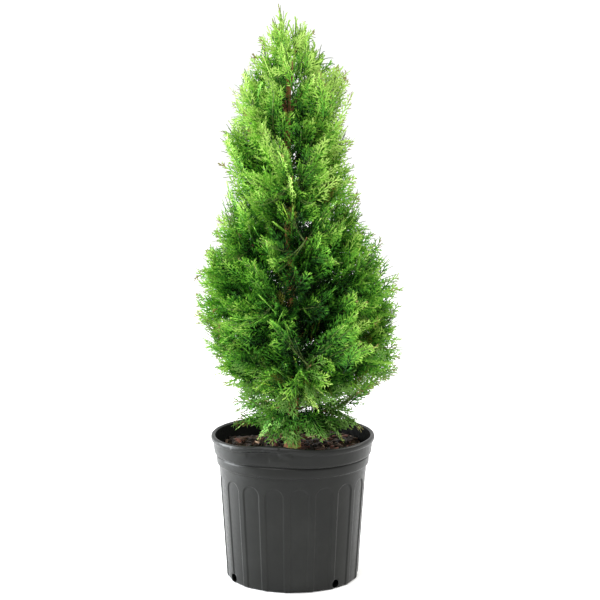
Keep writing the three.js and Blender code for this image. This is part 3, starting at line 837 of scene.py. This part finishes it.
class Spray:
    """A flat open fan: a middle shoot, curved side shoots by turns, and short forks on those."""

    def __init__(self, root, way, normal, length, rng):
        self.root, self.way, self.normal, self.length = root, way, normal, length
        self.across = np.cross(normal, way)
        self.bend, self.cup, self.dish = rng.normal(0, 0.14), rng.normal(0, 0.12), rng.normal(0, 0.25)
        self.blades = []

    def at(self, x, y):
        """Points of the fan, x along its middle and y to its side."""
        side = y + self.bend * x * x / self.length
        lift = self.cup * x * x / self.length + self.dish * y * y / self.length
        flat = self.root + np.multiply.outer(x, self.way) + np.multiply.outer(side, self.across)
        return flat + np.multiply.outer(lift, self.normal)

    def blade(self, start, end, age, taper, edge):
        """Adds the blades that end inside the crown, and tells which those are."""
        a, b = self.at(*start), self.at(*end)
        inside = kept(b, edge)
        b_on = b + OVERLAP * (b - a)
        self.blades.append((a[inside], b_on[inside], age[inside], np.full(inside.sum(), taper)))
        return inside

    def middle_joints(self, fringe):
        """Places along the middle shoot, up to where it would leave the crown."""
        x = np.linspace(0, 1.0, 8) * self.length
        inside = np.logical_and.accumulate(kept(self.at(x[1:], 0 * x[1:]), fringe + 8))
        return x[:1 + inside.sum()]

    def side_shoots(self, slim, fringe, end, rng):
        """Shoots that leave the middle one before its end, each with three joints up to the crown's edge."""
        length = self.length
        x = np.arange(0.08 * length, 0.97 * length, SHOOT_GAP) + rng.uniform(-0.5, 0.5)
        share = x / length
        sides = np.where(np.arange(len(x)) % 2, 1, -1)
        narrow = np.interp(self.root[2], [780, 920], [1, 0.6])
        angle = np.radians(OPENING - 16 * share + rng.normal(0, 6, len(x))) * narrow
        reach = slim * length * SIDE_SHARE * (1 - share) ** 0.7 * np.clip(share * 4, 0.5, 1)
        reach = reach * rng.uniform(0.5, 1.25, len(x)) + SIDE_LEAST["fan" if slim > 0.5 else "slim"]
        edge = fringe + rng.uniform(1, 6, len(x))
        alive = x <= end
        px, py = x, 0 * x
        for joint in range(3):
            nx = px + reach / 3 * np.cos(angle)
            ny = py + sides * reach / 3 * np.sin(angle)
            on = np.flatnonzero(alive)
            age = share[on] * 0.55 + 0.15 * (joint + 1)
            taper = 0.35 if joint == 2 else 0.9
            alive[on] = self.blade((px[on], py[on]), (nx[on], ny[on]), age, taper, edge[on])
            for turn, least, joints in FORKS:
                long = alive & (reach > least) & (joint in joints)
                fork = angle[long] + math.radians(turn) + rng.normal(0, 0.12, long.sum())
                size = reach[long] * (0.36 - 0.08 * joint) * rng.uniform(0.7, 1.15, long.sum()) + 2.5
                end_x, end_y = nx[long] + size * np.cos(fork), ny[long] + sides[long] * size * np.sin(fork)
                self.blade((nx[long], ny[long]), (end_x, end_y), share[long] * 0.4 + 0.5, 0.35, edge[long])
            px, py, angle = nx, ny, angle - math.radians(CURL)


def blade_shades(far, tips, age, vigour, swell, rng):
    """Shades of a spray that ends at far: painted shade deep in the crown, painted light up the crown, and
    lighter at its tips, partly fresh growth and partly painted light.
    """
    depth = np.hypot(far[0], far[1]) / max(reach_beside(far), 1)
    depth = max(min(depth, 1), np.interp(far[2], [880, 930], [0, 0.85]))
    # sprays that end deeper in the crown are darker: painted shade
    base = SHADE["middle"] + SHADE["outwards"] * (depth - SHADE["depth"])
    # painted shade in the crown's hollows and furrow, painted light on its swells, and painted light and
    # shade by height
    base = base + rng.normal(0, 0.6) + 0.5 * vigour + LUMPS["shade"] * swell + np.interp(far[2], *PAINTED_LIGHT_AT)
    # lighter towards the tips: partly fresh growth, partly painted light
    steps = base + SHADE["tipwards"] * (age - SHADE["age"]) + rng.normal(0, 0.45, len(tips))
    shade = np.clip(np.round(steps), 0, PALE)
    if far[2] < GREY_TOP + rng.normal(0, 45):
        shade = np.where(shade > FRESH, GREY, shade)
    chance = rng.uniform()
    if chance < ODD["yellow"] and far[2] > GREY_TOP:
        shade = np.where(shade > MID, YELLOW, shade)
    elif chance < ODD["bronze"] and depth < 0.8 and far[2] < BRONZE_TOP:
        shade = np.full(len(tips), BRONZE)
    past = np.hypot(tips[:, 0], tips[:, 1]) > reach_beside(tips)
    return np.where(past & (age > 0.6) & (rng.uniform(size=len(tips)) < DRY_SHARE), DRY, shade)


def grow_spray(leaves, root, way, normal, length, rng, slim=1.0, kind="side", vigour=0.0):
    """Adds a spray to the leaves, where there is room for it."""
    swell = lump(root + way * length) if kind in ("side", "tip") else 0
    fringe = rng.triangular(*FRINGE[kind]) * np.interp(root[2], [850, 920], [1, 0.5])
    fringe = fringe + LUMPS["stand"] * min(swell, 0)
    steps = np.multiply.outer(np.linspace(0.3, 1, 6), way)
    room = [share for share in ROOM if kept(root + steps * length * share, fringe).all()]
    if not room:
        return
    spray = Spray(root, way, normal, length * room[0], rng)
    x = spray.middle_joints(fringe)
    spray.side_shoots(slim, fringe, x[-1], rng)
    if len(x) > 1:
        spray.blade((x[:-1], 0 * x[:-1]), (x[1:], 0 * x[1:]), x[1:] / spray.length, 0.85, fringe + 20)
    roots, tips, age, tapers = (np.concatenate(column) for column in zip(*spray.blades))
    if not len(tips):
        return
    far = spray.at(x[-1:], np.zeros(1))[0]
    shades = blade_shades(far, tips, age, vigour, swell, rng)
    leaves.add(roots, tips, normal, SHOOT_WIDTH * rng.uniform(0.8, 1.15, len(tips)), tapers, shades)


# ---- branches


def grow_branch(mass, leaves, twigs, start, heart, tip, rng, shares=SPRAYS_AT, last="tip"):
    """A branch from a limb to its tip, with sprays to both sides and at its end."""
    line = sweep(start, heart, tip, 9)
    length = np.linalg.norm(np.diff(line, axis=0), axis=1).sum()
    thick = np.interp(length, [20, 160], [0.7, 1.7])
    twigs.add(*tube(line, np.linspace(thick, 0.45, 9), 4), GREEN)
    tangents = unit(np.gradient(line, axis=0))
    outward = math.atan2(tip[1], tip[0])
    vigour = rng.normal(0, 1)
    for step, share in enumerate(shares):
        at_tip = share == 1
        low = min(int(share * 8), 7)
        root = line[low] + (line[low + 1] - line[low]) * (share * 8 - low)
        side = 0 if at_tip else (1 if step % 2 else -1)
        swing = side * math.radians(rng.uniform(18, 62)) + rng.normal(0, 0.12)
        way = shoot_way(root, outward + swing, tangents[low], rng)
        flat = unit(np.cross(way, [0, 0, 1.0]))
        roll = mass.roll * 0.5 + rng.normal(0, 0.75)
        normal = flat * math.cos(roll) + np.cross(way, flat) * math.sin(roll)
        size = spray_length(root[2]) * rng.uniform(0.72, 1.08)
        size *= 1.3 if at_tip else 1
        root = root - way * (0.84 * size if at_tip else 0.2 * size)
        slim = rng.uniform(0.55, 0.85) if at_tip else rng.uniform(0.75, 1.25)
        kind = last if at_tip or last == "lobe" else "side"
        grow_spray(leaves, root, way, normal, size, rng, slim, kind, vigour)


def grow_hanging(leaves, twigs, root, tip, rng):
    """A low twig from the trunk with a broad drooping spray, and a smaller one beside it."""
    foot = trunk_at(root[2] - 14)
    twigs.add(*tube(sweep(foot, arch(foot, root), root, 7), np.linspace(1.5, 0.7, 7), 4), TAN)
    way = unit(tip - root)
    flat = unit(np.cross(way, [0, 0, 1.0]))
    for turn, share in ((0, 1), (rng.choice([-1, 1]) * 0.5, 0.62)):
        heading = unit(way + flat * turn)
        roll = rng.normal(0, 0.35)
        normal = unit(np.cross(heading, flat))
        normal = normal * math.cos(roll) + np.cross(heading, normal) * math.sin(roll)
        size = np.linalg.norm(tip - root) * share
        start = root + way * rng.uniform(0, 6)
        grow_spray(leaves, start, heading, normal, size, rng, 1.1, "hanging", rng.normal(-0.5, 0.9))


def grow_top(leaves, twigs):
    """The slim upright shoots above both leaders."""
    rng = np.random.default_rng(77)
    for x, y, z in TOP_SHOOTS:
        foot = np.array(LEADERS[0 if x < -8 else 1][1], float)
        tip = np.array([x, y, z], float)
        twigs.add(*tube(sweep(foot, arch(foot, tip), tip, 7), np.linspace(1.0, 0.45, 7), 4), GREEN)
        for along, size in TOP_SPRAYS:
            root = foot + (tip - foot) * along
            way = unit(tip - foot + rng.normal(0, 4, 3) + [0, 0, 50])
            turn = rng.uniform(-0.6, 0.6)
            normal = unit(np.cross(way, [math.cos(turn), math.sin(turn), 0]))
            back = 0.95 if along == 1 else 0.4
            grow_spray(leaves, root - way * size * back, way, normal, size, rng, 0.2, "tip", 0.6)


def placed_branches():
    """Tips on the left and right outline and those of LOBE_TIPS, with their sprays' places and kind."""
    rng = np.random.default_rng(5)
    for side in (0, math.pi):
        for z in np.arange(262, 930, OUTLINE_STEP):
            azimuth = side + rng.normal(0, 0.1)
            yield polar(crown_reach(z, azimuth) + rng.uniform(-5, 5), azimuth, z), OUTLINE_SPRAYS, "tip"
    for tip in LOBE_TIPS:
        yield np.array(tip, float), LOBE_SPRAYS, "lobe"


PLACED_BRANCHES = list(placed_branches())


def grow_mass(mass, leaves, twigs):
    """All the branches of a mass: to its outside, inside it, and to the placed tips in it."""
    rng = np.random.default_rng(mass.seed)
    stem = stem_line(mass, 12)
    end = mass.place(0, 0.5, lambda reach: STEM_END * reach)
    stem = np.concatenate([stem, sweep(stem[-1], (stem[-1] + end) / 2, end, 6)[1:]])
    twigs.add(*tube(stem, np.linspace(2.4, 0.7, len(stem)), 6), BROWN)
    limb = bough_line(mass, 12) if mass.bough else stem
    low = 0.04 if mass.level == 0 else -0.14  # height shares outside 0 to 1 blend the tiers
    high = 0.94 if mass.last else 1.14
    outer = max(3, round(mass.area() * THICKNESS[mass.tier] / CELL))
    inner = round(outer * INNER_SHARE.get(mass.tier, INNER_ELSEWHERE))
    numbered = [(number, False) for number in range(outer)]
    numbered += [(number + INNER_FROM, True) for number in range(inner)]
    for number, deep in numbered:
        u, v = target_of(number, low, high)
        if deep:
            far = rng.uniform(*INNER_REACH)
            tip = mass.place(u, v, lambda reach: far * reach)
        else:
            sunk = 3 + max(0, rng.normal(0, SUNK))
            swell = lump(mass.place(u, v, lambda reach: reach - sunk))
            if swell < SEAM["open"] and number % 2:
                continue
            sunk = sunk - LUMPS["stand"] * min(swell, 0)
            tip = mass.place(u, v, lambda reach: reach - sunk)
        if tip[2] < THIN_BELOW and number % 3 == 0:
            continue
        heart = mass.place(0.5 * u, 0.5 + 0.5 * (v - 0.5), bough_end if deep else core_middle)
        carrier = limb if deep else stem
        along = 0.15 + 0.8 * (number * EVEN_ALONG % 1)
        start = carrier[int(along * (len(carrier) - 1))]
        grow_branch(mass, leaves, twigs, start, heart, tip, rng)
    for tip, shares, kind in PLACED_BRANCHES:
        if mass.holds(tip):
            near = stem[np.argmin(np.linalg.norm(stem - tip * [0.5, 0.5, 1], axis=1))]
            grow_branch(mass, leaves, twigs, near, arch(near, tip), tip, rng, shares, kind)
    for root, tip in np.array(HANGING, float):
        if mass.holds(tip):
            grow_hanging(leaves, twigs, root, tip, rng)


def tier_pieces(level, tier):
    """The leaves and twigs of a tier, each kind joined."""
    masses = [mass for mass in MASSES if mass.level == level]
    groups = [Leaves() for _ in range(PARTS.get(tier, 1))]
    twigs = Shapes()
    for number, mass in enumerate(masses):
        leaves = groups[number * len(groups) // len(masses)]
        leaves.names.append(f"foliage_{mass.name}")
        grow_mass(mass, leaves, twigs)
    if tier == "top":
        grow_top(groups[0], twigs)
    for number, leaves in enumerate(groups):
        leaves.build(f"sprays_{tier}" + (f"_{number + 1}" if len(groups) > 1 else ""))
    points, faces, shades = twigs.arrays()
    piece(f"twigs_{tier}", points, faces, TWIGS, shades=shades)


# ---- floor, light and camera

FLOOR_SIZE = 30  # m, from the middle to each side
SKY = 1.12  # strength of the light from all around
LIGHTS = [  # name, place and target in m, width and height in m, power in W, colour
    ("key", (-1.7, -2.5, 2.9), (0, 0, 0.5), (2.4, 2.4), 100, (1, 1, 1)),
    ("right_high", (2.2, 0.7, 2.1), (0, 0, 0.75), (1.2, 1.4), 56, (1, 0.98, 0.92)),
    ("left_strip", (-2.1, 0.4, 0.6), (0, 0, 0.3), (1.2, 1.9), 150, (0.93, 0.97, 1)),
]
CAMERA = {"at": (0.0126, -3.4, 1.05), "down": 9.5, "lens": 121.98, "sensor": 36, "far": 100}


def area_light(name, at, towards, size, power, colour):
    data = bpy.data.lights.new(name, "AREA")
    data.shape = "RECTANGLE"
    data.size, data.size_y = size
    data.energy = power
    data.color = colour
    light = bpy.data.objects.new(name, data)
    bpy.context.scene.collection.objects.link(light)
    x, y, z = np.subtract(towards, at)
    light.location = at
    light.rotation_euler = (math.atan2(math.hypot(x, y), -z), 0, math.atan2(y, x) - math.pi / 2)


def studio():
    corners = [(x * FLOOR_SIZE, y * FLOOR_SIZE, 0) for x, y in ((-1, -1), (1, -1), (1, 1), (-1, 1))]
    mesh = bpy.data.meshes.new("floor")
    mesh.from_pydata(corners, [], [(0, 1, 2, 3)])
    mesh.materials.append(plain("floor_pale", (250, 250, 250), 0.9))
    floor = bpy.data.objects.new("floor", mesh)
    floor.location.z = -0.0005
    bpy.context.scene.collection.objects.link(floor)
    world = bpy.data.worlds.new("studio")
    world.use_nodes = True
    world.node_tree.nodes["Background"].inputs["Color"].default_value = (1, 1, 1, 1)
    world.node_tree.nodes["Background"].inputs["Strength"].default_value = SKY
    bpy.context.scene.world = world
    bpy.context.scene.view_settings.view_transform = "Standard"
    for light in LIGHTS:
        area_light(*light)


def camera():
    data = bpy.data.cameras.new("camera")
    data.sensor_width = CAMERA["sensor"]
    data.lens = CAMERA["lens"]
    data.clip_end = CAMERA["far"]
    made = bpy.data.objects.new("camera", data)
    made.location = CAMERA["at"]
    made.rotation_euler = (math.radians(90 - CAMERA["down"]), 0, 0)
    bpy.context.scene.collection.objects.link(made)
    bpy.context.scene.camera = made


camera()
studio()
pot_piece()
soil_piece()
chips_piece()
trunk_piece()
leaders_piece()
boughs_piece()
for level, tier in enumerate(TIERS):
    tier_pieces(level, tier[0])
